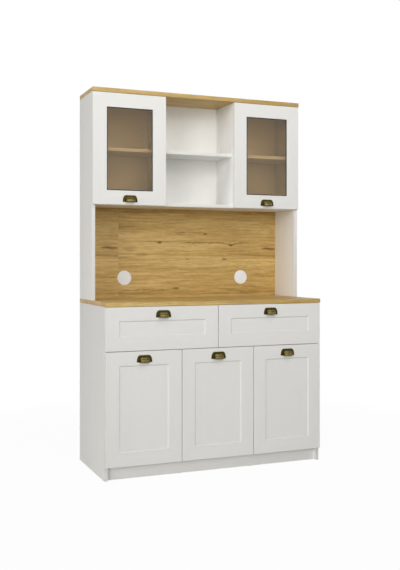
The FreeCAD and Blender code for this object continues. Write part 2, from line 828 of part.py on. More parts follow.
runner_half = size.runner_height / 2
runner_mouth = runner_half - size.runner_lip
runner_web = runner_half - size.runner_gauge
lip_back = size.runner_depth - size.runner_gauge
outer_runner = channel("outer_runner", [
    (zero, -runner_half),
    (size.runner_depth, -runner_half),
    (size.runner_depth, -runner_mouth),
    (lip_back, -runner_mouth),
    (lip_back, -runner_web),
    (size.runner_gauge, -runner_web),
    (size.runner_gauge, runner_web),
    (lip_back, runner_web),
    (lip_back, runner_mouth),
    (size.runner_depth, runner_mouth),
    (size.runner_depth, runner_half),
    (zero, runner_half),
])
slide_half = runner_mouth - size.runner_gap
slide_tip = size.runner_space - size.slide_depth
slide_web = size.runner_space - size.runner_gauge
inner_runner = channel("inner_runner", [
    (size.runner_space, -slide_half),
    (size.runner_space, slide_half),
    (slide_tip, slide_half),
    (slide_tip, slide_half - size.runner_gauge),
    (slide_web, slide_half - size.runner_gauge),
    (slide_web, size.runner_gauge - slide_half),
    (slide_tip, size.runner_gauge - slide_half),
    (slide_tip, -slide_half),
])


def runner_pair(name, source, bay):
    # One runner on each wall of a drawer bay, facing each other.
    return [copy_at(f"{name}_{number}", shape, wall, runner_front, runner_level)
            for number, (shape, wall) in enumerate(zip((source, mirrored(source, across)), bay))]


def drawer_box(label, bay):
    # Two sides with the back and an inner front between them, all grooved for the bottom.
    low, high = bay[0] + size.runner_space, bay[1] - size.runner_space
    heights, depths = (box_low, box_top), (box_back, box_front)
    between = (low + size.box_board, high - size.box_board)
    boards = [
        block(f"{label}_box_left", (low, low + size.box_board), depths, heights),
        block(f"{label}_box_right", (high - size.box_board, high), depths, heights),
        block(f"{label}_box_back", between, (box_back, box_back + size.box_board), heights),
        block(f"{label}_box_front", between, (box_front - size.box_board, box_front), heights),
    ]
    wall = size.box_board - size.box_groove
    bottom_low = box_low + size.box_bottom_lift
    bottom_top_face = bottom_low + size.box_bottom_thick
    slot = block(f"{label}_bottom_slot", (low + wall, high - wall), (box_back + wall, box_front - wall),
                 (bottom_low, bottom_top_face + size.groove_play))
    node(f"{label}_box", cut(f"{label}_box", group(f"{label}_boards", boards), [slot]))
    edge = wall + size.groove_play
    node(f"{label}_bottom", block(f"{label}_bottom", (low + edge, high - edge),
                                  (box_back + edge, box_front - edge), (bottom_low, bottom_top_face)))


fixed_runners = []
for side, sign in sides.items():
    label = f"{side}_drawer"
    x = sign * half_width / 2
    bay = span(sign, bay_inner, inner_face)
    node(f"{label}_frame", copy_at(f"{label}_frame", drawer_shape, x, rear - base_front, drawer_middle))
    node(f"{label}_panel", panel(f"{label}_panel", panel_depths, x, base_front, drawer_middle,
                                 drawer_wide, drawer_tall, panel_edge))
    pull_at(label, x, base_front, drawer_high - pull_inset)
    drawer_box(label, bay)
    node(f"{label}_runners", group(f"{label}_runners", runner_pair(f"{label}_runner", inner_runner, bay)))
    fixed_runners += runner_pair(f"{label}_rail", outer_runner, bay)
node("cabinet_runners", group("cabinet_runners", fixed_runners))

doc.recompute()
for thing in doc.Objects:
    if "Invalid" in thing.State or "Error" in thing.State:
        raise RuntimeError(f"{thing.Label} failed: {thing.State}")
for thing in nodes:
    if thing.Shape.isNull() or not thing.Shape.isValid():
        raise RuntimeError(f"{thing.Label} has no valid shape")

os.makedirs("parts", exist_ok=True)
for thing in nodes:
    thing.Shape.exportStep(f"parts/{thing.Label}.step")
print(len(nodes), "nodes,", sum(len(thing.Shape.Solids) for thing in nodes), "solids")
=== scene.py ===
import math

import bmesh
import bpy
import numpy as np
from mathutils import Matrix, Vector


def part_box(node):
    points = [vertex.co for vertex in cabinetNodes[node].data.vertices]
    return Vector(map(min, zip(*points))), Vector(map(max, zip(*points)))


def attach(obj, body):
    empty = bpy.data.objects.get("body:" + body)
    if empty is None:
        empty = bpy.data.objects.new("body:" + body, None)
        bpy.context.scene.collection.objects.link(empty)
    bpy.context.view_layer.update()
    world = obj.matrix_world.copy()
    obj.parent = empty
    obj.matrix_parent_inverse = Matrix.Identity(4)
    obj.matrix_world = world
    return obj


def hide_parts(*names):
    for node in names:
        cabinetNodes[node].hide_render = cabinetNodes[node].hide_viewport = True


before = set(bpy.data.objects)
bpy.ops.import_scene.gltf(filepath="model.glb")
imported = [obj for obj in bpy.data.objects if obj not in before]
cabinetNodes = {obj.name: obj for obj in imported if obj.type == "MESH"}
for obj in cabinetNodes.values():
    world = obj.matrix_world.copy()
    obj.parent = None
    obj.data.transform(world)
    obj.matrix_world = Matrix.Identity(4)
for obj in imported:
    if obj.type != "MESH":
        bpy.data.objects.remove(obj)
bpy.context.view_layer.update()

scene = bpy.context.scene
scene.view_settings.view_transform = "Standard"
mm = 0.001
print("frame loaded,", len(cabinetNodes), "nodes")


def srgb(red, green, blue):  # a colour as it is seen, as the linear value that a socket takes
    seen = np.array((red, green, blue)) / 255
    linear = np.where(seen <= 0.04045, seen / 12.92, ((seen + 0.055) / 1.055) ** 2.4)
    return (*linear.tolist(), 1.0)


def plug(tree, socket, value):  # a link from another node, or a fixed value
    if isinstance(value, bpy.types.NodeSocket):
        tree.links.new(value, socket)
    else:
        socket.default_value = value


def addNode(tree, kind, sockets=None, **props):
    made = tree.nodes.new(kind)
    for prop, value in props.items():
        setattr(made, prop, value)
    for key, value in (sockets or {}).items():
        plug(tree, made.inputs[key], value)
    return made


def feed(tree, target, **sockets):  # socket names without their spaces
    names = {socket.name.replace(" ", ""): socket for socket in target.inputs}
    for key, value in sockets.items():
        plug(tree, names[key], value)


def calc(tree, operation, *values):
    return addNode(tree, "ShaderNodeMath", dict(enumerate(values)), operation=operation).outputs[0]


def vectorCalc(tree, operation, *values):
    made = addNode(tree, "ShaderNodeVectorMath", dict(enumerate(values)), operation=operation)
    return made.outputs["Value"] if operation == "LENGTH" else made.outputs["Vector"]


def spread(tree, value, low, high, toLow=0.0, toHigh=1.0, kind="SMOOTHSTEP"):
    sockets = {"Value": value, "From Min": low, "From Max": high, "To Min": toLow, "To Max": toHigh}
    return addNode(tree, "ShaderNodeMapRange", sockets, interpolation_type=kind).outputs["Result"]


mixSockets = {"RGBA": (6, 7, 2), "VECTOR": (4, 5, 1)}  # first, second and result for each kind of value


def mix(tree, factor, first, second, kind="RGBA"):
    firstSocket, secondSocket, result = mixSockets[kind]
    sockets = {0: factor, firstSocket: first, secondSocket: second}
    return addNode(tree, "ShaderNodeMix", sockets, data_type=kind).outputs[result]


def noise(tree, vector, scale, detail, roughness=0.5):
    sockets = {"Vector": vector, "Scale": scale, "Detail": detail, "Roughness": roughness}
    return addNode(tree, "ShaderNodeTexNoise", sockets).outputs["Fac"]


def swing(tree, value, width):  # a noise as an offset to both sides
    return calc(tree, "MULTIPLY", calc(tree, "SUBTRACT", value, 0.5), width)


def splitVector(tree, vector):
    return addNode(tree, "ShaderNodeSeparateXYZ", {0: vector}).outputs


def joinVector(tree, x, y, z):
    return addNode(tree, "ShaderNodeCombineXYZ", {0: x, 1: y, 2: z}).outputs[0]


def bumpNormal(tree, height, distance, strength):
    sockets = {"Height": height, "Distance": distance, "Strength": strength}
    return addNode(tree, "ShaderNodeBump", sockets).outputs["Normal"]


def objectCoordinates(tree):
    return addNode(tree, "ShaderNodeTexCoord").outputs["Object"]


def newGroup(name, inputs, outputs):  # sockets as {name: type}
    group = bpy.data.node_groups.new(name, "ShaderNodeTree")
    for way, sockets in (("INPUT", inputs), ("OUTPUT", outputs)):
        for label, kind in sockets.items():
            group.interface.new_socket(label, in_out=way, socket_type="NodeSocket" + kind)
    return group, addNode(group, "NodeGroupInput").outputs, addNode(group, "NodeGroupOutput")


def useGroup(tree, group, sockets):
    return addNode(tree, "ShaderNodeGroup", sockets, node_tree=group).outputs


def newMaterial(name):
    material = bpy.data.materials.new(name)
    material.use_nodes = True
    tree = material.node_tree
    tree.nodes.clear()
    surface = addNode(tree, "ShaderNodeBsdfPrincipled")
    addNode(tree, "ShaderNodeOutputMaterial", {"Surface": surface.outputs[0]})
    return material, tree, surface


def mixShaders(tree, factor, first, second):
    return addNode(tree, "ShaderNodeMixShader", {0: factor, 1: first.outputs[0], 2: second.outputs[0]}).outputs[0]


def showInstead(tree, shader):  # puts a mixed shader in the place of the plain one
    output = next(one for one in tree.nodes if one.type == "OUTPUT_MATERIAL")
    tree.links.new(shader, output.inputs["Surface"])


grainNoise = {
    "tone": (3.0, 0.55),  # detail and roughness of each noise
    "streak": (3.0, 0.6),
    "pores": (2.0, 0.6),
    "poreScale": 5.0,  # times the scale of the streaks
    "poreEdge": (0.52, 0.66),
}


# grain that runs along the vector's x: broad tone, fine streaks and short pores
def makeStretchedGrain():
    group, given, result = newGroup(
        "stretchedGrain", {"Vector": "Vector", "Bands": "Float", "Streaks": "Float", "Length": "Float"},
        {"Tone": "Float", "Streak": "Float", "Pores": "Float"})
    x, y, z = splitVector(group, given["Vector"])
    vector = joinVector(group, calc(group, "MULTIPLY", x, given["Length"]), y, z)
    poreScale = calc(group, "MULTIPLY", given["Streaks"], grainNoise["poreScale"])
    pores = noise(group, vector, poreScale, *grainNoise["pores"])
    feed(group, result, Tone=noise(group, vector, given["Bands"], *grainNoise["tone"]),
         Streak=noise(group, vector, given["Streaks"], *grainNoise["streak"]),
         Pores=spread(group, pores, *grainNoise["poreEdge"]))
    return group


knotShape = {"edge": (1.0, 0.35)}  # shares of the reach where a mark sets in and where it is full


# a stain or knot: an ellipse in x and z round its centre, soft towards its edge
def makeKnotMark():
    group, given, result = newGroup(
        "knotMark", {"Vector": "Vector", "Centre": "Vector", "Reach": "Vector", "Depth": "Float"}, {"Mask": "Float"})
    offset = vectorCalc(group, "SUBTRACT", given["Vector"], given["Centre"])
    distance = vectorCalc(group, "LENGTH", vectorCalc(group, "DIVIDE", offset, given["Reach"]))
    mark = spread(group, distance, *knotShape["edge"])
    feed(group, result, Mask=calc(group, "MULTIPLY", mark, given["Depth"]))
    return group


crackShape = {
    "wander": (16.0, 3.0),  # scale and detail of its rise and fall
    "wanderHeight": 14 * mm,
    "swell": (40.0, 2.0),  # scale and detail of its thick and thin stretches
    "swellFrom": (0.25, 0.75),
    "swellTo": (0.45, 1.6),  # times its half height
    "fade": 60 * mm,  # at both ends
    "edge": (1.0, 0.35),  # shares of the half height where it sets in and where it is full
}


# a crack along x: a wavering line that dips past a knot, P(x) = level - dip exp(-((x - place) / reach)^2)
def makeCrackLine():
    group, given, result = newGroup(
        "crackLine",
        {"Vector": "Vector", "Start": "Float", "End": "Float", "Level": "Float", "Dip Place": "Float", "Dip": "Float",
         "Dip Reach": "Float", "Half Height": "Float", "Depth": "Float"},
        {"Mask": "Float"})
    x, y, z = splitVector(group, given["Vector"])
    share = calc(group, "DIVIDE", calc(group, "SUBTRACT", x, given["Dip Place"]), given["Dip Reach"])
    bell = calc(group, "EXPONENT", calc(group, "MULTIPLY", calc(group, "MULTIPLY", share, share), -1.0))
    level = calc(group, "SUBTRACT", given["Level"], calc(group, "MULTIPLY", given["Dip"], bell))
    run = joinVector(group, x, given["Level"], 0.0)
    wander = swing(group, noise(group, run, *crackShape["wander"]), crackShape["wanderHeight"])
    apart = calc(group, "ABSOLUTE", calc(group, "SUBTRACT", z, calc(group, "ADD", level, wander)))
    swell = spread(group, noise(group, run, *crackShape["swell"]), *crackShape["swellFrom"], *crackShape["swellTo"])
    thick = calc(group, "MULTIPLY", given["Half Height"], swell)
    line = spread(group, calc(group, "DIVIDE", apart, thick), *crackShape["edge"])
    fromStart, toEnd = calc(group, "SUBTRACT", x, given["Start"]), calc(group, "SUBTRACT", given["End"], x)
    ends = calc(group, "MULTIPLY", *[spread(group, left, 0.0, crackShape["fade"]) for left in (fromStart, toEnd)])
    feed(group, result, Mask=calc(group, "MULTIPLY", calc(group, "MULTIPLY", line, given["Depth"]), ends))
    return group


# a mitred frame: Along has the member's own run in x, Line marks the hairline of the corner joints, and Inset is
# how far in from the frame's outer edge a place lies
def makeMitredRun():
    group, given, result = newGroup(
        "mitredRun",
        {"Vector": "Vector", "Centre": "Vector", "Half Width": "Float", "Half Height": "Float", "Joint": "Float"},
        {"Along": "Vector", "Line": "Float", "Inset": "Float"})
    x, y, z = splitVector(group, vectorCalc(group, "SUBTRACT", given["Vector"], given["Centre"]))
    fromSide = calc(group, "SUBTRACT", given["Half Width"], calc(group, "ABSOLUTE", x))
    fromEnd = calc(group, "SUBTRACT", given["Half Height"], calc(group, "ABSOLUTE", z))
    isRail = calc(group, "LESS_THAN", fromEnd, fromSide)
    apart = calc(group, "ABSOLUTE", calc(group, "SUBTRACT", fromEnd, fromSide))
    feed(group, result, Along=mix(group, isRail, joinVector(group, z, x, y), joinVector(group, x, z, y), "VECTOR"),
         Line=spread(group, apart, given["Joint"], 0.0), Inset=calc(group, "MINIMUM", fromEnd, fromSide))
    return group


cloudNoise = {"cloud": (4.0, 0.6), "speck": (2.0, 0.5), "speckScale": 22.0}  # detail and roughness of each noise


# slow cloudy unevenness of a surface, for handling marks and dull patches
def makeCloudiness():
    group, given, result = newGroup(
        "cloudiness", {"Vector": "Vector", "Size": "Float"}, {"Cloud": "Float", "Speck": "Float"})
    speckScale = calc(group, "MULTIPLY", given["Size"], cloudNoise["speckScale"])
    feed(group, result, Cloud=noise(group, given["Vector"], given["Size"], *cloudNoise["cloud"]),
         Speck=noise(group, given["Vector"], speckScale, *cloudNoise["speck"]))
    return group


stretchedGrain, knotMark, crackLine = makeStretchedGrain(), makeKnotMark(), makeCrackLine()
mitredRun, cloudiness = makeMitredRun(), makeCloudiness()
noiseSpan = (0.3, 0.7)  # where most of a noise's values lie

whiteFoil = {
    "tones": (srgb(235, 234, 230), srgb(238, 237, 233)),
    "sheltered": (srgb(244, 243, 241), srgb(249, 248, 246)),  # boards of the open bay, a lighter copy of the foil as painted light against the bay's shade
    "toneRange": (0.7, 1.3),  # sums of tone and streak that turn one tone to the other
    "bands": 14.0,
    "streaks": 300.0,
    "length": 0.06,  # the less, the longer the grain
    "roughness": (0.4, 0.5),
    "ior": 1.46,
    "poreDepth": 0.05 * mm,
    "bump": 0.6,
    "joint": 0.4 * mm,
    "jointShade": 0.22,
    "jointDepth": 3.0,  # times the pores' depth
    "shade": srgb(96, 92, 84),
    "bevel": (68.5 * mm, 69.5 * mm),  # where a panelled front's bevel sets in, from its outer edge
    # painted shade laid on a panelled front's bevel, towards the shade colour
    "bevelShade": 0.08,
}


def finishFoil(tree, surface, along, line=None, inset=None, tones=whiteFoil["tones"]):
    grain = useGroup(tree, stretchedGrain, {"Vector": along, "Bands": whiteFoil["bands"],
                                            "Streaks": whiteFoil["streaks"], "Length": whiteFoil["length"]})
    weight = spread(tree, calc(tree, "ADD", grain["Tone"], grain["Streak"]), *whiteFoil["toneRange"])
    colour = mix(tree, weight, *tones)
    height = calc(tree, "SUBTRACT", 1.0, grain["Pores"])
    if line:
        colour = mix(tree, calc(tree, "MULTIPLY", line, whiteFoil["jointShade"]), colour, whiteFoil["shade"])
        height = calc(tree, "SUBTRACT", height, calc(tree, "MULTIPLY", line, whiteFoil["jointDepth"]))
    # painted shade on the bevel of a panelled front
    if inset:
        bevel = spread(tree, inset, *whiteFoil["bevel"], 0.0, whiteFoil["bevelShade"])
        colour = mix(tree, bevel, colour, whiteFoil["shade"])
    rough = spread(tree, grain["Streak"], *noiseSpan, *whiteFoil["roughness"], kind="LINEAR")
    feed(tree, surface, BaseColor=colour, Roughness=rough, IOR=whiteFoil["ior"],
         Normal=bumpNormal(tree, height, whiteFoil["poreDepth"], whiteFoil["bump"]))


def foilMaterial(name, run, **finish):  # run is the axis that the grain follows
    material, tree, surface = newMaterial(name)
    x, y, z = splitVector(tree, objectCoordinates(tree))
    order = {"x": (x, z, y), "z": (z, x, y)}[run]
    finishFoil(tree, surface, joinVector(tree, *order), **finish)
    return material


def frontMaterial(node, panelled):  # the foil of a framed front, its grain along each stile and rail
    low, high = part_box(node)
    middle = (low + high) / 2
    material, tree, surface = newMaterial(node + "Foil")
    run = useGroup(tree, mitredRun, {
        "Vector": objectCoordinates(tree), "Centre": tuple(middle), "Half Width": (high.x - low.x) / 2,
        "Half Height": (high.z - low.z) / 2, "Joint": whiteFoil["joint"]})
    finishFoil(tree, surface, run["Along"], run["Line"], run["Inset"] if panelled else None)
    return material


oakDecor = {
    "dark": srgb(161, 126, 62),
    "middle": srgb(195, 161, 94),
    "light": srgb(218, 187, 121),
    "knot": srgb(102, 68, 12),
    "middleRange": (0.42, 0.7),  # sums of tone that turn the dark colour to the middle one
    "lightRange": (0.66, 0.92),  # and the middle colour to the light one
    "shares": {"tone": 0.85, "streak": 0.55, "rings": 0.035, "fleck": 0.45},
    "bands": 15.0,
    "streaks": 120.0,
    "length": 0.05,
    "rings": 46.0,
    "fleck": (85.0, 4.0, 0.65),  # scale, detail and roughness of the noise
    "fleckLength": 0.22,
    "waver": (5.0, 2.0),  # scale and detail of the slow bend of the grain
    "waverLength": 0.35,
    "waverHeight": 28 * mm,
    "ripple": (26.0, 3.0),  # scale and detail of the ragged edge of marks and cracks
    "rippleHeight": 12 * mm,
    "poreShade": 0.16,
    "roughness": (0.38, 0.52),
    "ior": 1.46,
    "poreDepth": 0.15 * mm,
    "bump": 0.7,
}

# across is the axis that counts across the grain, and joint is where the decor starts anew, its length in mm and how
# much lighter the part before it is, partly its own plank tone and partly painted light against the hutch side's
# shadow
# marks are knots and dark streaks: x, place across the grain, half length and half height in mm, and depth of tone
# cracks: start, end and level in mm, the dip's place, depth and reach, half height and depth of tone
splashbackDecor = {
    "across": "z",
    "joint": (-388, 977, 0.08),
    "marks": [
        (-147, 1186, 19, 10, 0.85), (-160, 1189, 46, 6, 0.45), (292, 1174, 19, 9, 0.95), (131, 1236, 18, 7, 0.85),
        (251, 1090, 24, 7, 0.75), (540, 1154, 66, 8, 0.8), (560, 1150, 40, 14, 0.4), (-47, 926, 26, 8, 0.75),
        (-300, 1352, 100, 10, 0.4), (-320, 1147, 55, 20, 0.25), (-252, 1114, 50, 16, 0.35), (20, 1092, 16, 6, 0.4)],
    "cracks": [
        (-30, 440, 1185, 292, 10, 30, 3.6, 0.7), (-80, 175, 1243, 131, 6, 20, 2.4, 0.6),
        (-388, -10, 918, -47, -7, 34, 3.2, 0.55), (-250, -70, 1190, -147, 5, 18, 2.6, 0.6),
        (-388, 60, 1300, -100, 6, 60, 2.4, 0.35), (100, 560, 1276, 330, -6, 60, 2.4, 0.35),
        (150, 582, 944, 400, 5, 50, 2.6, 0.4), (-200, 240, 1040, 20, 5, 60, 2.2, 0.3)],
}
worktopDecor = {
    "across": "y",
    "joint": None,
    "marks": [(-380, -120, 70, 7, 0.5), (-60, -30, 22, 9, 0.75), (40, -34, 120, 4, 0.4), (330, -170, 60, 6, 0.45)],
    "cracks": [(-420, -40, -118, -300, 6, 40, 2.6, 0.5), (120, 520, -172, 330, -6, 40, 2.6, 0.5)],
}
topDecor = {
    "across": "y",
    "joint": None,
    "marks": [(-250, 120, 90, 6, 0.45), (180, 190, 24, 9, 0.7), (420, 60, 80, 5, 0.4)],
    "cracks": [(-400, 0, 122, -250, 6, 40, 2.6, 0.5), (60, 500, 186, 180, 8, 30, 2.6, 0.5)],
}


def oakStains(tree, spot, decor):  # one mask of all marks and cracks
    masks = []
    for centre, level, halfLength, halfHeight, depth in decor["marks"]:
        masks.append(useGroup(tree, knotMark, {
            "Vector": spot, "Centre": (centre * mm, 0.0, level * mm),
            "Reach": (halfLength * mm, 1.0, halfHeight * mm), "Depth": depth})["Mask"])
    for start, end, level, dipPlace, dip, dipReach, halfHeight, depth in decor["cracks"]:
        masks.append(useGroup(tree, crackLine, {
            "Vector": spot, "Start": start * mm, "End": end * mm, "Level": level * mm, "Dip Place": dipPlace * mm,
            "Dip": dip * mm, "Dip Reach": dipReach * mm, "Half Height": halfHeight * mm, "Depth": depth})["Mask"])
    stain = masks[0]
    for mask in masks[1:]:
        stain = calc(tree, "MAXIMUM", stain, mask)
    return stain


def oakMaterial(name, decor):
    material, tree, surface = newMaterial(name)
    x, y, z = splitVector(tree, objectCoordinates(tree))
    if decor["joint"]:
        jointPlace, decorLength, lift = decor["joint"]
        before = calc(tree, "LESS_THAN", x, jointPlace * mm)
        x = calc(tree, "ADD", x, calc(tree, "MULTIPLY", before, decorLength * mm))
    slow = joinVector(tree, calc(tree, "MULTIPLY", x, oakDecor["waverLength"]), y, z)
    waver = swing(tree, noise(tree, slow, *oakDecor["waver"]), oakDecor["waverHeight"])
    bentY, bentZ = calc(tree, "ADD", y, waver), calc(tree, "ADD", z, waver)
    grain = useGroup(tree, stretchedGrain, {"Vector": joinVector(tree, x, bentZ, bentY), "Bands": oakDecor["bands"],
                                            "Streaks": oakDecor["streaks"], "Length": oakDecor["length"]})
    rings = calc(tree, "SINE", calc(tree, "MULTIPLY", grain["Tone"], oakDecor["rings"]))
    fleckRun = joinVector(tree, calc(tree, "MULTIPLY", x, oakDecor["fleckLength"]), bentZ, bentY)
    shares = oakDecor["shares"]
    total = calc(tree, "ADD", calc(tree, "MULTIPLY", grain["Tone"], shares["tone"]),
                 calc(tree, "MULTIPLY", grain["Streak"], shares["streak"]))
    total = calc(tree, "ADD", total, calc(tree, "MULTIPLY", rings, shares["rings"]))
    total = calc(tree, "ADD", total, swing(tree, noise(tree, fleckRun, *oakDecor["fleck"]), shares["fleck"]))
    # the part before the joint is lighter: its own plank tone, and painted light against the left side's shadow
    if decor["joint"]:
        total = calc(tree, "ADD", total, calc(tree, "MULTIPLY", before, lift))
    colour = mix(tree, spread(tree, total, *oakDecor["middleRange"]), oakDecor["dark"], oakDecor["middle"])
    colour = mix(tree, spread(tree, total, *oakDecor["lightRange"]), colour, oakDecor["light"])
    ripple = swing(tree, noise(tree, joinVector(tree, x, y, z), *oakDecor["ripple"]), oakDecor["rippleHeight"])
    across = {"y": y, "z": z}[decor["across"]]
    stain = oakStains(tree, joinVector(tree, x, 0.0, calc(tree, "ADD", across, ripple)), decor)
    colour = mix(tree, stain, colour, oakDecor["knot"])
    colour = mix(tree, calc(tree, "MULTIPLY", grain["Pores"], oakDecor["poreShade"]), colour, oakDecor["knot"])
    height = calc(tree, "SUBTRACT", 1.0, calc(tree, "MAXIMUM", grain["Pores"], stain))
    rough = spread(tree, grain["Streak"], *noiseSpan, *oakDecor["roughness"], kind="LINEAR")
    feed(tree, surface, BaseColor=colour, Roughness=rough, IOR=oakDecor["ior"],
         Normal=bumpNormal(tree, height, oakDecor["poreDepth"], oakDecor["bump"]))
    return material


thinBoard = {
    "face": (srgb(241, 240, 235), srgb(244, 243, 238)),
    "bare": (srgb(104, 74, 46), srgb(126, 92, 60)),
    "cloud": 14.0,
    "roughness": (0.45, 0.6),
    "depth": 0.06 * mm,
    "bump": 0.5,
}


def thinBoardMaterial(name, axis, sign):  # white on the side that shows, bare brown fibreboard on the other
    material, tree, surface = newMaterial(name)
    clouds = useGroup(tree, cloudiness, {"Vector": objectCoordinates(tree), "Size": thinBoard["cloud"]})
    normal = splitVector(tree, addNode(tree, "ShaderNodeNewGeometry").outputs["Normal"])
    shown = calc(tree, "GREATER_THAN", calc(tree, "MULTIPLY", normal[axis], sign), 0.5)
    bare = mix(tree, clouds["Speck"], *thinBoard["bare"])
    white = mix(tree, spread(tree, clouds["Cloud"], *noiseSpan), *thinBoard["face"])
    feed(tree, surface, BaseColor=mix(tree, shown, bare, white),
         Roughness=spread(tree, clouds["Cloud"], *noiseSpan, *thinBoard["roughness"]),
         Normal=bumpNormal(tree, clouds["Speck"], thinBoard["depth"], thinBoard["bump"]))
    return material


bronzeGlass = {
    "tint": srgb(219, 201, 171),
    "shadow": srgb(60, 57, 52),  # what the pane lets through to the shelves
    "reflection": 0.05,
    "ior": 1.5,
    "cloud": 5.0,
    "cloudRange": (0.35, 0.75),
    "roughness": (0.0, 0.03),
}


def glassMaterial():
    material, tree, surface = newMaterial("bronzeGlass")
    clouds = useGroup(tree, cloudiness, {"Vector": objectCoordinates(tree), "Size": bronzeGlass["cloud"]})
    feed(tree, surface, BaseColor=bronzeGlass["tint"], TransmissionWeight=1.0, IOR=bronzeGlass["ior"], Metallic=0.0,
         SpecularIORLevel=bronzeGlass["reflection"],
         Roughness=spread(tree, clouds["Cloud"], *bronzeGlass["cloudRange"], *bronzeGlass["roughness"]))
    clear = addNode(tree, "ShaderNodeBsdfTransparent", {"Color": bronzeGlass["shadow"]})
    lightPath = addNode(tree, "ShaderNodeLightPath")
    showInstead(tree, mixShaders(tree, lightPath.outputs["Is Shadow Ray"], surface, clear))
    return material


agedBrass = {
    # the patina colour also serves as painted shade on the hood, and the rubbed colour mostly as its painted
    # highlights
    "patina": srgb(62, 53, 23),
    "metal": srgb(113, 103, 61),
    "rubbed": srgb(158, 148, 108),
    "metalRange": (0.05, 0.6),  # wear and painted light that turn the patina, also used as painted shade, to metal
    "rubbedRange": (0.6, 1.1),
    "cloud": 90.0,
    "cloudGain": 0.45,
    "roughness": (0.5, 0.3),
    "depth": 0.05 * mm,
    "bump": 0.4,
}


def brassMaterial():  # dark patina in the hollows and painted shade, rubbed bright and painted highlights where the piece's wear-and-painted-light attribute is high
    material, tree, surface = newMaterial("agedBrass")
    clouds = useGroup(tree, cloudiness, {"Vector": objectCoordinates(tree), "Size": agedBrass["cloud"]})
    rub = addNode(tree, "ShaderNodeAttribute", attribute_name="rub").outputs["Fac"]
    patchy = calc(tree, "ADD", rub, swing(tree, clouds["Cloud"], agedBrass["cloudGain"]))
    colour = mix(tree, spread(tree, patchy, *agedBrass["metalRange"]), agedBrass["patina"], agedBrass["metal"])
    colour = mix(tree, spread(tree, patchy, *agedBrass["rubbedRange"]), colour, agedBrass["rubbed"])
    feed(tree, surface, BaseColor=colour, Metallic=1.0,
         Roughness=spread(tree, patchy, 0.0, 1.0, *agedBrass["roughness"]),
         Normal=bumpNormal(tree, clouds["Speck"], agedBrass["depth"], agedBrass["bump"]))
    return material


# moulded plastic, rubber and plated metal: two near tones, roughness, scale of the clouds, metallic
plainFinishes = {
    "gasketRubber": (srgb(38, 32, 26), srgb(48, 41, 33), (0.55, 0.7), 30.0, 0.0),
    "hingeNickel": (srgb(168, 168, 166), srgb(190, 190, 187), (0.22, 0.36), 60.0, 1.0),
    "runnerZinc": (srgb(158, 160, 163), srgb(182, 184, 186), (0.3, 0.48), 24.0, 1.0),
    "outletPlastic": (srgb(247, 248, 249), srgb(249, 250, 251), (0.42, 0.5), 40.0, 0.0),
    "capPlastic": (srgb(244, 246, 248), srgb(247, 249, 251), (0.45, 0.55), 40.0, 0.0),
    "glidePlastic": (srgb(214, 212, 206), srgb(222, 220, 214), (0.5, 0.62), 50.0, 0.0),
}
plainSkin = {"depth": 0.04 * mm, "bump": 0.5}


def plainMaterial(name):
    first, second, roughness, size, metallic = plainFinishes[name]
    material, tree, surface = newMaterial(name)
    clouds = useGroup(tree, cloudiness, {"Vector": objectCoordinates(tree), "Size": size})
    feed(tree, surface, BaseColor=mix(tree, spread(tree, clouds["Cloud"], *noiseSpan), first, second),
         Roughness=spread(tree, clouds["Cloud"], *noiseSpan, *roughness), Metallic=metallic,
         Normal=bumpNormal(tree, clouds["Speck"], plainSkin["depth"], plainSkin["bump"]))
    return material


boardUpright, boardLevel = foilMaterial("whiteFoilUpright", "z"), foilMaterial("whiteFoilLevel", "x")
boardPaintedLight = foilMaterial("whiteFoilSheltered", "z", tones=whiteFoil["sheltered"])
aged = brassMaterial()
plain = {name: plainMaterial(name) for name in plainFinishes}
print("materials made")


def dress(material, *names):
    for name in names:
        cabinetNodes[name].data.materials.clear()
        cabinetNodes[name].data.materials.append(material)


doors = ["left_door", "middle_door", "right_door"]
glassDoors = ["left_glass_door", "right_glass_door"]
drawers = ["left_drawer", "right_drawer"]
dress(boardUpright, "base_left_side", "base_right_side", "base_dividers", "drawer_divider", "hutch_left_side",
      "hutch_right_side", *[door + "_panel" for door in doors])
# the open bay's dividers take the lighter copy of the foil, painted light
dress(boardPaintedLight, "hutch_left_divider", "hutch_right_divider")
dress(boardLevel, "base_bottom", "drawer_deck", "plinth", "base_shelves", "hutch_bottom", "hutch_shelves",
      *[drawer + "_panel" for drawer in drawers], *[drawer + "_box" for drawer in drawers])
for front in doors + glassDoors + drawers:
    dress(frontMaterial(front + "_frame", front not in glassDoors), front + "_frame")
    dress(aged, front + "_pull")
dress(oakMaterial("oakSplashback", splashbackDecor), "splashback")
dress(oakMaterial("oakWorktop", worktopDecor), "worktop")
dress(oakMaterial("oakTop", topDecor), "hutch_top")
dress(thinBoardMaterial("cabinetBack", "Y", -1.0), "base_back", "hutch_back")
dress(thinBoardMaterial("drawerBottom", "Z", 1.0), *[drawer + "_bottom" for drawer in drawers])
dress(glassMaterial(), *[door + "_pane" for door in glassDoors])
dress(plain["gasketRubber"], *[door + "_gasket" for door in glassDoors])
dress(plain["hingeNickel"], "hinge_arms", *[door + "_hinge_cups" for door in doors + glassDoors])
dress(plain["runnerZinc"], "cabinet_runners", *[drawer + "_runners" for drawer in drawers])
dress(plain["outletPlastic"], "cable_sleeves", "shelf_pins")
dress(plain["capPlastic"], "left_cable_cap", "right_cable_cap")
dress(plain["glidePlastic"], "foot_glides")
print("nodes dressed")


def gridFaces(rows, columns, wrap=False):  # quads of a grid of points, its columns joined round when wrapped
    index = np.arange(rows * columns).reshape(rows, columns)
    if wrap:
        index = np.concatenate([index, index[:, :1]], axis=1)
    return np.stack([index[:-1, :-1], index[:-1, 1:], index[1:, 1:], index[1:, :-1]], axis=-1).reshape(-1, 4)


def gather(shells):  # several (points, faces, wear and painted light) shells as one
    starts = np.cumsum([0] + [len(points) for points, faces, rub in shells])
    return (np.concatenate([points for points, faces, rub in shells]),
            np.concatenate([faces + start for (points, faces, rub), start in zip(shells, starts)]),
            np.concatenate([np.broadcast_to(rub, len(points)) for points, faces, rub in shells]))


pieceWeld = 0.002 * mm


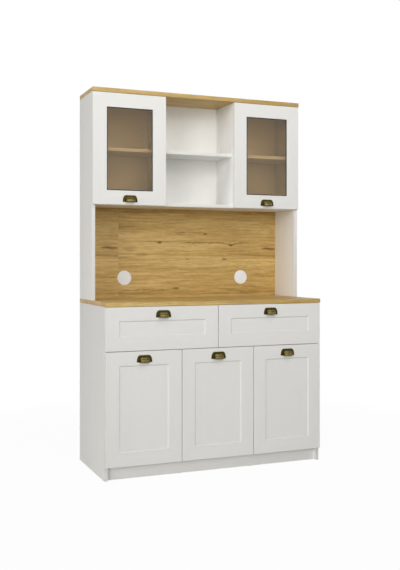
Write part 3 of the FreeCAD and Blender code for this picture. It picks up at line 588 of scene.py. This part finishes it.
def makePiece(name, shell, body, material, replaced=(), sharp=35.0):
    points, faces, rub = shell
    rub = np.broadcast_to(rub, len(points)).astype(np.float32)
    mesh = bpy.data.meshes.new(name)
    mesh.from_pydata(points.tolist(), [], faces.tolist())
    mesh.attributes.new("rub", "FLOAT", "POINT").data.foreach_set("value", rub)
    work = bmesh.new()
    work.from_mesh(mesh)
    bmesh.ops.remove_doubles(work, verts=work.verts, dist=pieceWeld)
    bmesh.ops.dissolve_degenerate(work, edges=work.edges, dist=pieceWeld)
    bmesh.ops.recalc_face_normals(work, faces=work.faces)
    work.to_mesh(mesh)
    work.free()
    mesh.polygons.foreach_set("use_smooth", np.ones(len(mesh.polygons), dtype=bool))
    mesh.set_sharp_from_angle(angle=math.radians(sharp))
    mesh.materials.append(material)
    piece = bpy.data.objects.new(name, mesh)
    scene.collection.objects.link(piece)
    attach(piece, body)
    if replaced:
        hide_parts(*replaced)


cupPull = {  # millimetres
    "shoulder": (17.0, 30.0),  # width and height of each shoulder's quarter ellipse
    "foot": 2.0,
    "plate": 1.5,
    "edge": 0.7,
    "straight": 5.0,
    "lip": 1.0,
    "lipHeight": 3.0,
    "bend": 18.0,
    "crown": 9.0,
    "wall": 1.6,
    "sink": 0.3,
    "sharp": 50.0,  # degrees
    "steps": {"quarter": 18, "foot": 6, "edge": 5, "lip": 9, "straight": 4},
    "rub": {"plate": 0.1, "edge": 0.2, "lip": 0.25, "hood": 0.37, "inside": 0.0},
    # painted highlights and painted shade on the hood: way round in degrees, height, reach of both, and gain (above 0
    # a painted highlight, below 0 painted shade)
    "spots": [(0, -9.5, 38, 2.8, 0.4), (0, -3.0, 90, 2.2, -0.3), (-52, 3.5, 28, 4.0, 0.8), (50, 6.0, 25, 4.0, 0.4),
              (-90, -11.0, 40, 7.0, -0.4), (90, -11.0, 40, 7.0, -0.4)],
}


# an arc of an ellipse, P(a) = centre + (half width cos a, half height sin a)
def arcPoints(centreX, centreZ, halfX, halfZ, start, stop, steps):
    angle = np.linspace(math.radians(start), math.radians(stop), steps)
    return np.stack([centreX + halfX * np.cos(angle), centreZ + halfZ * np.sin(angle)], axis=1)


# plate: a level top between two quarter-ellipse shoulders; the outline is carried from the back face round a rounded
# front edge, each ring drawn in by an inset, and both faces close on their middle
def pullPlate(halfX, halfZ):
    shoulderX, shoulderZ = cupPull["shoulder"]
    foot, edge, thick, steps = cupPull["foot"], cupPull["edge"], cupPull["plate"], cupPull["steps"]
    right = np.concatenate([
        arcPoints(halfX - foot, foot - halfZ, foot, foot, -90, 0, steps["foot"]),
        arcPoints(halfX - shoulderX, halfZ - shoulderZ, shoulderX, shoulderZ, 0, 90, steps["quarter"]),
    ])
    outline = np.concatenate([right, right[::-1] * (-1, 1)])
    ahead = np.roll(outline, -1, axis=0) - np.roll(outline, 1, axis=0)
    outward = np.stack([ahead[:, 1], -ahead[:, 0]], axis=1)
    outward /= np.maximum(np.linalg.norm(outward, axis=1, keepdims=True), 1e-9)
    turn = np.radians(np.linspace(0, 90, steps["edge"]))
    inset = np.concatenate([[0.0], edge - edge * np.cos(turn)])
    depth = np.concatenate([[0.0], thick - edge + edge * np.sin(turn)])
    rings = outline[None] - inset[:, None, None] * outward[None]
    x, z = rings[..., 0], rings[..., 1]
    d = np.broadcast_to(depth[:, None], x.shape)
    middle = np.zeros((1, x.shape[1]))
    x, z = np.concatenate([middle, x, middle]), np.concatenate([middle, z, middle])
    d = np.concatenate([middle, d, middle + thick])
    rub = np.full(x.shape, cupPull["rub"]["plate"])
    rub[3:-2] = cupPull["rub"]["edge"]  # the rings on the rounding
    return np.stack([x, d, z], axis=-1).reshape(-1, 3), gridFaces(*x.shape, wrap=True), rub.ravel()


# hood: the bent section carried along its plan, P(s, t) = spine(s) + distance(t) * outward(s) + height(t) up,
# where the plan is a short straight run with a quarter turn at each end
def pullHood(halfZ, reach):
    steps, marks = cupPull["steps"], cupPull["rub"]
    wall, crown, bend, lip = cupPull["wall"], cupPull["crown"], cupPull["bend"], cupPull["lip"]
    outerWall = reach - lip
    lipZ = np.linspace(-halfZ, cupPull["lipHeight"] - halfZ, steps["lip"])
    bulge = np.sqrt(np.clip(1 - np.linspace(-1, 1, steps["lip"]) ** 2, 0, 1))
    wallZ = np.linspace(lipZ[-1], crown - bend, steps["straight"])[1:]
    turn = np.radians(np.linspace(0, 90, steps["quarter"]))[1:]
    crownD = np.linspace(outerWall - bend, 0, steps["straight"])[1:]
    outerD = np.concatenate([outerWall + lip * bulge, np.full(len(wallZ), outerWall),
                             outerWall - bend + bend * np.cos(turn), crownD])
    outerZ = np.concatenate([lipZ, wallZ, crown - bend + bend * np.sin(turn), np.full(len(crownD), crown)])
    small = bend - wall
    innerD = np.concatenate([np.full(len(lipZ) + len(wallZ), outerWall - wall),
                             outerWall - bend + small * np.cos(turn), crownD])
    innerZ = np.concatenate([lipZ, wallZ, crown - bend + small * np.sin(turn), np.full(len(crownD), crown - wall)])
    distance, height = np.concatenate([outerD, innerD[::-1]]), np.concatenate([outerZ, innerZ[::-1]])
    way = np.radians(np.concatenate([np.linspace(-90, 0, steps["quarter"]), np.linspace(0, 90, steps["quarter"])]))
    spine = np.repeat([-cupPull["straight"], cupPull["straight"]], steps["quarter"])
    x = spine[:, None] + distance[None] * np.sin(way)[:, None]
    d = cupPull["plate"] - cupPull["sink"] + distance[None] * np.cos(way)[:, None]
    z = np.broadcast_to(height[None], x.shape)
    outerWearAndPaintedLight = np.full((len(way), len(outerD)), marks["hood"])
    outerWearAndPaintedLight[:, :len(lipZ)] = marks["lip"]
    # painted highlights and painted shade laid on the hood's outer face
    for spotWay, spotZ, reachWay, reachZ, gain in cupPull["spots"]:
        around = np.exp(-((np.degrees(way) - spotWay) / reachWay) ** 2)
        outerWearAndPaintedLight += gain * around[:, None] * np.exp(-((outerZ - spotZ) / reachZ) ** 2)[None]
    rub = np.concatenate([outerWearAndPaintedLight, np.full((len(way), len(innerD)), marks["inside"])], axis=1)
    points = np.stack([x, d, z], axis=-1).reshape(-1, 3)
    faces = gridFaces(*x.shape, wrap=True)
    count, last = len(outerD), x.size - x.shape[1]
    strip = np.arange(count - 1)
    cap = np.stack([strip, strip + 1, 2 * count - 2 - strip, 2 * count - 1 - strip], axis=1)
    return points, np.concatenate([faces, cap, cap + last]), rub.ravel()


def makePull(front):
    low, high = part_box(front + "_pull")
    halfX, halfZ = (high.x - low.x) / 2 / mm, (high.z - low.z) / 2 / mm
    reach = (high.y - low.y) / mm - cupPull["plate"] + cupPull["sink"]
    points, faces, rub = gather([pullPlate(halfX, halfZ), pullHood(halfZ, reach)])
    place = np.array([(low.x + high.x) / 2, high.y, (low.z + high.z) / 2])
    shell = (points * (mm, -mm, mm) + place, faces, rub)
    makePiece(front + "_cup_pull", shell, front, aged, [front + "_pull"], cupPull["sharp"])


for front in doors + glassDoors + drawers:
    makePull(front)
print("cup pulls made")

outlet = {  # millimetres
    "steps": 120,
    "cornerSteps": 6,
    "round": 0.7,
    "gap": 0.3,  # between cap and sleeve
    "capDrop": 0.8,
    "tube": 2.2,
    "skin": 1.5,
}


# a turned piece: a closed section of radius and depth, P(s, t) = (r(t) cos s, depth(t), r(t) sin s)
def turned(section, place):
    turn = np.linspace(0, 2 * np.pi, outlet["steps"], endpoint=False)
    radius, depth = np.array(section, dtype=float).T
    x, z = radius[:, None] * np.cos(turn)[None], radius[:, None] * np.sin(turn)[None]
    y = np.broadcast_to(depth[:, None], x.shape)
    points = np.stack([x, y, z], axis=-1).reshape(-1, 3) * mm + np.array(place)
    return points, gridFaces(len(radius), outlet["steps"], wrap=True), 0.0


def roundedCorner(radius, depth, start):  # a quarter round in the section, from an angle onwards
    reach = outlet["round"]
    return arcPoints(radius, depth, reach, reach, start, start + 90, outlet["cornerSteps"]).tolist()


def makeOutlets():
    sleeveLow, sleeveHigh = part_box("cable_sleeves")
    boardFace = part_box("splashback")[0].y
    rimOuter = (sleeveHigh.z - sleeveLow.z) / 2 / mm
    rimThick = (boardFace - sleeveLow.y) / mm
    tubeBack = (sleeveHigh.y - boardFace) / mm
    bend, skin = outlet["round"], outlet["skin"]
    shells = []
    for side in ("left", "right"):
        low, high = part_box(side + "_cable_cap")
        place = ((low.x + high.x) / 2, boardFace, (low.z + high.z) / 2)
        capOuter = (high.x - low.x) / 2 / mm
        tubeInner = capOuter + outlet["gap"]
        tubeOuter = tubeInner + outlet["tube"]
        sleeve = ([[tubeInner, tubeBack]] + roundedCorner(tubeInner + bend, bend - rimThick, 180)
                  + roundedCorner(rimOuter - bend, bend - rimThick, 270)
                  + [[rimOuter, 0.0], [tubeOuter, 0.0], [tubeOuter, tubeBack], [tubeInner, tubeBack]])
        shells.append(turned(sleeve, place))
        face, back = outlet["capDrop"] - rimThick, (high.y - boardFace) / mm
        cap = ([[0.0, face]] + roundedCorner(capOuter - bend, face + bend, 270)
               + [[capOuter, back], [capOuter - skin, back], [capOuter - skin, face + skin], [0.0, face + skin]])
        makePiece(side + "_outlet_cap", turned(cap, place), side + "_cable_cap",
                  plain["capPlastic"], [side + "_cable_cap"])
    makePiece("outlet_sleeves", gather(shells), "cabinet", plain["outletPlastic"], ["cable_sleeves"])


makeOutlets()
print("cable outlets made")

screw = {  # millimetres, apart from shares of the radius
    "radius": 3.4,
    "dome": 0.9,
    "domeShare": 0.96,  # under 1 leaves a low wall at the rim
    "rim": 0.999,
    "under": 0.2,
    "slot": 0.36,
    "slotReach": 0.62,
    "slotDepth": 0.7,
    "steps": 17,
}


# screw head: a disc grid x = u sqrt(1 - v^2 / 2), z = v sqrt(1 - u^2 / 2) raised to a dome, less a cross recess,
# with a flat grid below it that shares its rim
def screwHead(place, outward):
    line = np.linspace(-1, 1, screw["steps"])
    u, v = (grid.ravel() for grid in np.meshgrid(line, line))
    across, up = u * np.sqrt(1 - v ** 2 / 2), v * np.sqrt(1 - u ** 2 / 2)
    square = across ** 2 + up ** 2
    inside = square < screw["rim"]
    arm = np.minimum(np.abs(across), np.abs(up)) < screw["slot"] / 2
    arm &= np.maximum(np.abs(across), np.abs(up)) < screw["slotReach"]
    dome = screw["dome"] * np.sqrt(np.clip(1 - screw["domeShare"] * square, 0, 1))
    top = dome * inside - screw["slotDepth"] * arm
    side = np.array(outward, dtype=float)
    first = np.array((0.0, 0.0, 1.0))
    second = np.cross(side, first)
    flat = screw["radius"] * (across[:, None] * first + up[:, None] * second)
    points = np.concatenate([flat + top[:, None] * side, flat - screw["under"] * inside[:, None] * side])
    faces = gridFaces(screw["steps"], screw["steps"])
    return points * mm + np.array(place), np.concatenate([faces, faces + len(u)]), 0.0


hingeScrews = {  # millimetres
    "boards": {  # the board beside each door, and which way its inner face looks
        "left_door": ("base_left_side", 1),
        "middle_door": ("base_dividers", 1),
        "right_door": ("base_right_side", -1),
        "left_glass_door": ("hutch_left_side", 1),
        "right_glass_door": ("hutch_right_side", -1),
    },
    "boardThick": 18.0,
    "wingHalf": 31.0,
    "wingScrew": 24.6,  # from the cup's middle, up and down
    "plate": 2.5,
    "plateScrew": 16.0,
    "setBack": 38.0,
}


def makeHingeScrews():
    size = {key: value * mm for key, value in hingeScrews.items() if key != "boards"}
    fixed = []
    for door, (board, facing) in hingeScrews["boards"].items():
        low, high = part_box(door + "_hinge_cups")
        boardLow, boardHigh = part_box(board)
        wall = boardLow.x + size["boardThick"] if facing > 0 else boardHigh.x - size["boardThick"]
        middles = (low.z + size["wingHalf"], high.z - size["wingHalf"])
        ends = [(level, end) for level in middles for end in (-1, 1)]
        heads = [screwHead(((low.x + high.x) / 2, high.y, level + end * size["wingScrew"]), (0, 1, 0))
                 for level, end in ends]
        makePiece(door + "_cup_screws", gather(heads), door, plain["hingeNickel"])
        inner, across = wall + facing * size["plate"], boardLow.y + size["setBack"]
        fixed += [screwHead((inner, across, level + end * size["plateScrew"]), (facing, 0, 0)) for level, end in ends]
    makePiece("hinge_plate_screws", gather(fixed), "cabinet", plain["hingeNickel"])


makeHingeScrews()
print("hinge screws made")

easedEdge = {
    "weld": 0.005 * mm,
    "flat": 0.5,  # degrees within which faces are one
    "corner": 50.0,  # degrees past which an edge is eased
    "segments": 2,
    "boards": {  # width in mm, and the boards of each group
        "oak_board": (0.8, ("worktop", "hutch_top")),
        "white_board": (0.7, ("plinth", "base_shelves", "hutch_shelves", "hutch_bottom", "base_left_side",
                              "base_right_side", "hutch_left_side", "hutch_right_side", "base_dividers",
                              "hutch_left_divider", "hutch_right_divider")),
    },
}


# boards with eased edges: the node's own faces welded into flat ones, and a narrow rounded bevel on each edge
def easeBoard(node, width):
    mesh = cabinetNodes[node].data.copy()
    mesh.name = node + "_eased"
    work = bmesh.new()
    work.from_mesh(mesh)
    bmesh.ops.remove_doubles(work, verts=work.verts, dist=easedEdge["weld"])
    flat = math.radians(easedEdge["flat"])
    bmesh.ops.dissolve_limit(work, angle_limit=flat, verts=work.verts, edges=work.edges)
    work.to_mesh(mesh)
    work.free()
    piece = bpy.data.objects.new(node + "_eased", mesh)
    scene.collection.objects.link(piece)
    bevel = piece.modifiers.new("easedEdge", "BEVEL")
    bevel.width = width * mm
    bevel.segments = easedEdge["segments"]
    bevel.limit_method = "ANGLE"
    bevel.angle_limit = math.radians(easedEdge["corner"])
    bevel.harden_normals = True
    mesh.polygons.foreach_set("use_smooth", np.ones(len(mesh.polygons), dtype=bool))
    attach(piece, "cabinet")
    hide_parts(node)


for slot, (width, boards) in easedEdge["boards"].items():
    for node in boards:
        easeBoard(node, width)
print("board edges eased")

studio = {
    "floorSize": 30.0,
    "floorColour": srgb(206, 206, 205),
    "floorRoughness": 0.9,
    "floorWhite": 0.965,  # share of plain white that the camera sees on the floor near the cabinet
    "whiteFrom": (1.2, 2.6),  # metres from the middle, past which the floor is all white
    "ambient": 0.02,
    "lamps": {  # place, aim, size in metres, power and colour
        "frontSoftbox": ((-0.8, -4.9, 2.5), (0.0, 0.0, 1.3), 2.6, 63.0, (1.0, 1.0, 1.0)),
        "sideSoftbox": ((-9.0, -8.0, 2.6), (0.0, 0.0, 1.1), 5.0, 422.0, (1.0, 1.0, 1.0)),
        "leftSoftbox": ((-5.6, -0.9, 2.6), (-0.6, 0.1, 1.5), 3.0, 80.0, (1.0, 0.97, 0.92)),
        "topSoftbox": ((0.4, -2.5, 3.3), (0.1, 0.0, 1.5), 1.8, 34.0, (1.0, 1.0, 1.0)),
        "rightSoftbox": ((6.4, -0.9, 2.3), (0.4, 0.0, 1.2), 3.0, 55.0, (1.0, 1.0, 1.0)),
        "backSoftbox": ((1.2, 5.6, 2.4), (0.0, 0.2, 1.0), 3.0, 55.0, (1.0, 1.0, 1.0)),
    },
}
plainWhite = {"Color": (1, 1, 1, 1), "Strength": 1.0}


def whiteRays(tree):  # 1 for what the camera sees direct, mirrored or through glass
    path = addNode(tree, "ShaderNodeLightPath").outputs
    seen = calc(tree, "MAXIMUM", path["Is Camera Ray"], path["Is Glossy Ray"])
    return calc(tree, "MAXIMUM", seen, path["Is Transmission Ray"])


def makeFloor():
    half = studio["floorSize"] / 2
    mesh = bpy.data.meshes.new("studioFloor")
    mesh.from_pydata([(-half, -half, 0), (half, -half, 0), (half, half, 0), (-half, half, 0)], [], [(0, 1, 2, 3)])
    floor = bpy.data.objects.new("studioFloor", mesh)
    scene.collection.objects.link(floor)
    material, tree, surface = newMaterial("studioFloor")
    feed(tree, surface, BaseColor=studio["floorColour"], Roughness=studio["floorRoughness"])
    distance = vectorCalc(tree, "LENGTH", objectCoordinates(tree))
    share = spread(tree, distance, *studio["whiteFrom"], studio["floorWhite"], 1.0)
    white = addNode(tree, "ShaderNodeEmission", plainWhite)
    showInstead(tree, mixShaders(tree, calc(tree, "MULTIPLY", whiteRays(tree), share), surface, white))
    mesh.materials.append(material)


def makeWorld():
    world = bpy.data.worlds.new("studioWorld")
    world.use_nodes = True
    tree = world.node_tree
    tree.nodes.clear()
    soft = addNode(tree, "ShaderNodeBackground", {**plainWhite, "Strength": studio["ambient"]})
    white = addNode(tree, "ShaderNodeBackground", plainWhite)
    addNode(tree, "ShaderNodeOutputWorld", {"Surface": mixShaders(tree, whiteRays(tree), soft, white)})
    scene.world = world


def makeLamp(name, place, aim, size, power, colour):
    data = bpy.data.lights.new(name, "AREA")
    data.shape = "SQUARE"
    data.size = size
    data.energy = power
    data.color = colour
    lamp = bpy.data.objects.new(name, data)
    scene.collection.objects.link(lamp)
    x, y, z = np.array(aim) - np.array(place)
    lamp.location = place
    lamp.rotation_euler = (math.atan2(math.hypot(x, y), -z), 0.0, math.atan2(y, x) - math.pi / 2)


makeFloor()
makeWorld()
for name, settings in studio["lamps"].items():
    makeLamp(name, *settings)
print("studio set")

# the photo's view: a level camera left of the middle, at the height of the niche
photoView = {"place": (-1.69716, -4.12126, 1.07545), "turn": -0.3899, "sensor": 36.0, "lens": 52.05, "rise": -0.0405}
lensData = bpy.data.cameras.new("photoView")
lensData.sensor_width = photoView["sensor"]
lensData.lens = photoView["lens"]
lensData.shift_y = photoView["rise"]
camera = bpy.data.objects.new("photoView", lensData)
scene.collection.objects.link(camera)
camera.location = photoView["place"]
camera.rotation_euler = (math.pi / 2, 0.0, photoView["turn"])
scene.camera = camera
print("camera set")
